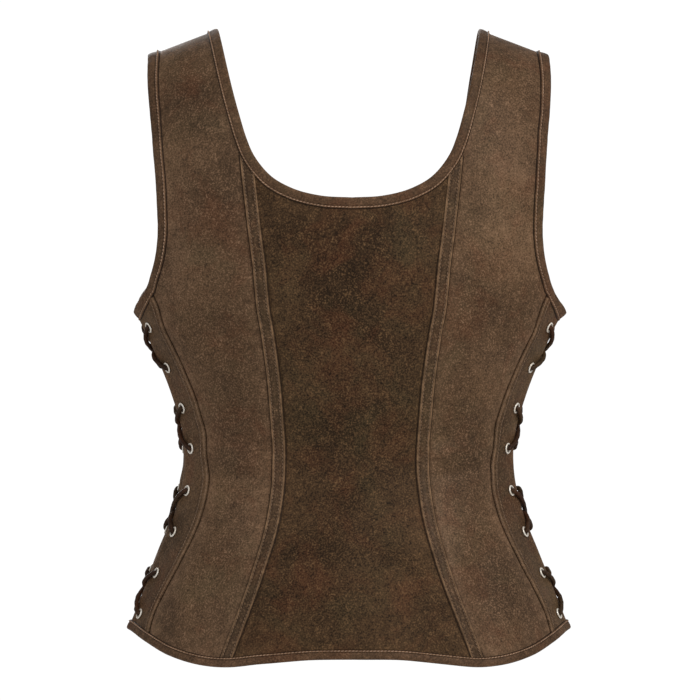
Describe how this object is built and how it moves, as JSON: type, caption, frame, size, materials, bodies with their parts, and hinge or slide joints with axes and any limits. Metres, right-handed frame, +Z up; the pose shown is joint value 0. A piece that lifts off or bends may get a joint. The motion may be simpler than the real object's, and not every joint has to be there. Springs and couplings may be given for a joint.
{
  "type": "corset top",
  "caption": "Sleeveless leather corset top with wide straps, princess seams under boning channels, bound edges and eyelet-and-lace sides, filled out to its worn form",
  "frame": {"origin": "Midway between the shoulder straps, at the height where they rest on the shoulders: the strap ridge's inner corners are 10 mm above it and the outer ones 12 mm below it", "axes": "+Z is up the torso, +X is the wearer's left, +Y points out of the wearer's back and the front faces -Y"},
  "size_m": [0.3632, 0.257, 0.5206],
  "materials": {
    "centre_leather": "distressed, suede-like dark brown",
    "side_leather": "distressed brown, matt",
    "lacing_leather": "distressed brown, matt",
    "binding_leather": "distressed brown, folded and stitched",
    "channel_leather": "distressed brown, stitched",
    "lace_cord": "dark brown round cord",
    "eyelet_nickel": "nickel plated, slightly dulled"
  },
  "bodies": {
    "root": {"centre_back": "centre_leather", "centre_front": "centre_leather", "side_back_L": "side_leather", "side_back_R": "side_leather", "side_front_L": "side_leather", "side_front_R": "side_leather", "lacing_back_L": "lacing_leather", "lacing_back_R": "lacing_leather", "lacing_front_L": "lacing_leather", "lacing_front_R": "lacing_leather", "neck_binding": "binding_leather", "armhole_binding_L": "binding_leather", "armhole_binding_R": "binding_leather", "hem_binding_back": "binding_leather", "hem_binding_front": "binding_leather", "channel_back_L": "channel_leather", "channel_back_R": "channel_leather", "lace_L": "lace_cord", "lace_R": "lace_cord", "eyelet_back_L1": "eyelet_nickel", "eyelet_back_L2": "eyelet_nickel", "eyelet_back_L3": "eyelet_nickel", "eyelet_back_L4": "eyelet_nickel", "eyelet_back_L5": "eyelet_nickel", "eyelet_back_L6": "eyelet_nickel", "eyelet_back_L7": "eyelet_nickel", "eyelet_back_L8": "eyelet_nickel", "eyelet_back_R1": "eyelet_nickel", "eyelet_back_R2": "eyelet_nickel", "eyelet_back_R3": "eyelet_nickel", "eyelet_back_R4": "eyelet_nickel", "eyelet_back_R5": "eyelet_nickel", "eyelet_back_R6": "eyelet_nickel", "eyelet_back_R7": "eyelet_nickel", "eyelet_back_R8": "eyelet_nickel", "eyelet_front_L1": "eyelet_nickel", "eyelet_front_L2": "eyelet_nickel", "eyelet_front_L3": "eyelet_nickel", "eyelet_front_L4": "eyelet_nickel", "eyelet_front_L5": "eyelet_nickel", "eyelet_front_L6": "eyelet_nickel", "eyelet_front_L7": "eyelet_nickel", "eyelet_front_L8": "eyelet_nickel", "eyelet_front_R1": "eyelet_nickel", "eyelet_front_R2": "eyelet_nickel", "eyelet_front_R3": "eyelet_nickel", "eyelet_front_R4": "eyelet_nickel", "eyelet_front_R5": "eyelet_nickel", "eyelet_front_R6": "eyelet_nickel", "eyelet_front_R7": "eyelet_nickel", "eyelet_front_R8": "eyelet_nickel"}
  },
  "joints": []
}
